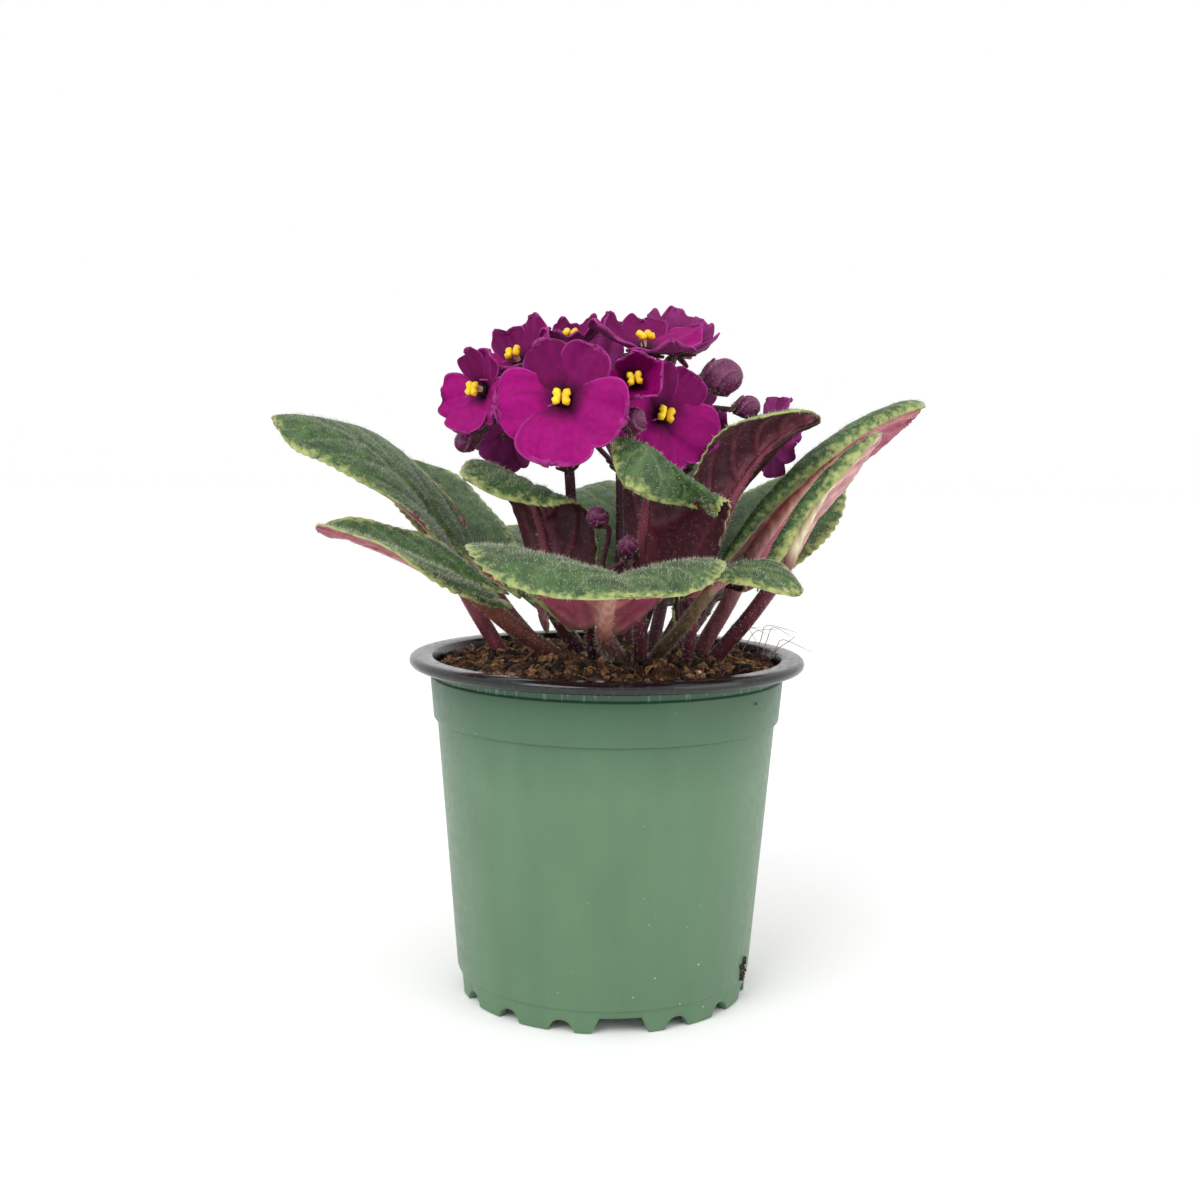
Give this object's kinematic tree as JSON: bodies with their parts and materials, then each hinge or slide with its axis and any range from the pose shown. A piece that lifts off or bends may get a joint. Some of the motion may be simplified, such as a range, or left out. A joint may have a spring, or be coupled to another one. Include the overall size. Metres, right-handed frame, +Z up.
{
  "type": "potted african violet",
  "caption": "African violet with magenta flowers and hairy, cream-edged leaves, growing in a round green plastic nursery pot with a notched foot.",
  "frame": {"origin": "on the surface the pot stands on, under the middle of the pot", "axes": "+Z is up along the pot's axis, -Y is the side the plant shows best, and +X is to the right of someone who looks at that side"},
  "size_m": [0.1843, 0.1575, 0.1884],
  "materials": {
    "green_plastic": "satin thermoformed polypropylene, grey-green with a black rolled rim",
    "peat_soil": "crumbly moist peat with tan fibres and a little white perlite",
    "leaf": "softly hairy green leaf with a cream-green edge and a pink to wine-red underside",
    "stalk": "fleshy purple-brown stem with fine hairs",
    "petal": "velvety deep magenta petal",
    "bud": "downy plum-coloured bud",
    "pollen_sac": "smooth bright yellow pollen sac"
  },
  "bodies": {
    "root": {"nursery_pot": "green_plastic", "potting_mix": "peat_soil", "crown_stem": "stalk", "leaf_01": "leaf", "leaf_02": "leaf", "leaf_03": "leaf", "leaf_04": "leaf", "leaf_05": "leaf", "leaf_06": "leaf", "leaf_07": "leaf", "leaf_08": "leaf", "leaf_09": "leaf", "leaf_10": "leaf", "leaf_11": "leaf", "leaf_12": "leaf", "leaf_13": "leaf", "leaf_14": "leaf", "leaf_15": "leaf", "leaf_16": "leaf", "flower_stalk_1": "stalk", "flower_stalk_2": "stalk", "flower_stalk_3": "stalk", "flower_stalk_4": "stalk", "flower_stalk_5": "stalk", "corolla_01": "petal", "corolla_02": "petal", "corolla_03": "petal", "corolla_04": "petal", "corolla_05": "petal", "corolla_06": "petal", "corolla_07": "petal", "corolla_08": "petal", "corolla_09": "petal", "corolla_10": "petal", "corolla_11": "petal", "corolla_12": "petal", "anthers_01": "pollen_sac", "anthers_02": "pollen_sac", "anthers_03": "pollen_sac", "anthers_04": "pollen_sac", "anthers_05": "pollen_sac", "anthers_06": "pollen_sac", "anthers_07": "pollen_sac", "anthers_08": "pollen_sac", "anthers_09": "pollen_sac", "anthers_10": "pollen_sac", "anthers_11": "pollen_sac", "anthers_12": "pollen_sac", "bud_1": "bud", "bud_2": "bud", "bud_3": "bud", "bud_4": "bud", "bud_5": "bud", "bud_6": "bud", "bud_7": "bud"}
  },
  "joints": []
}
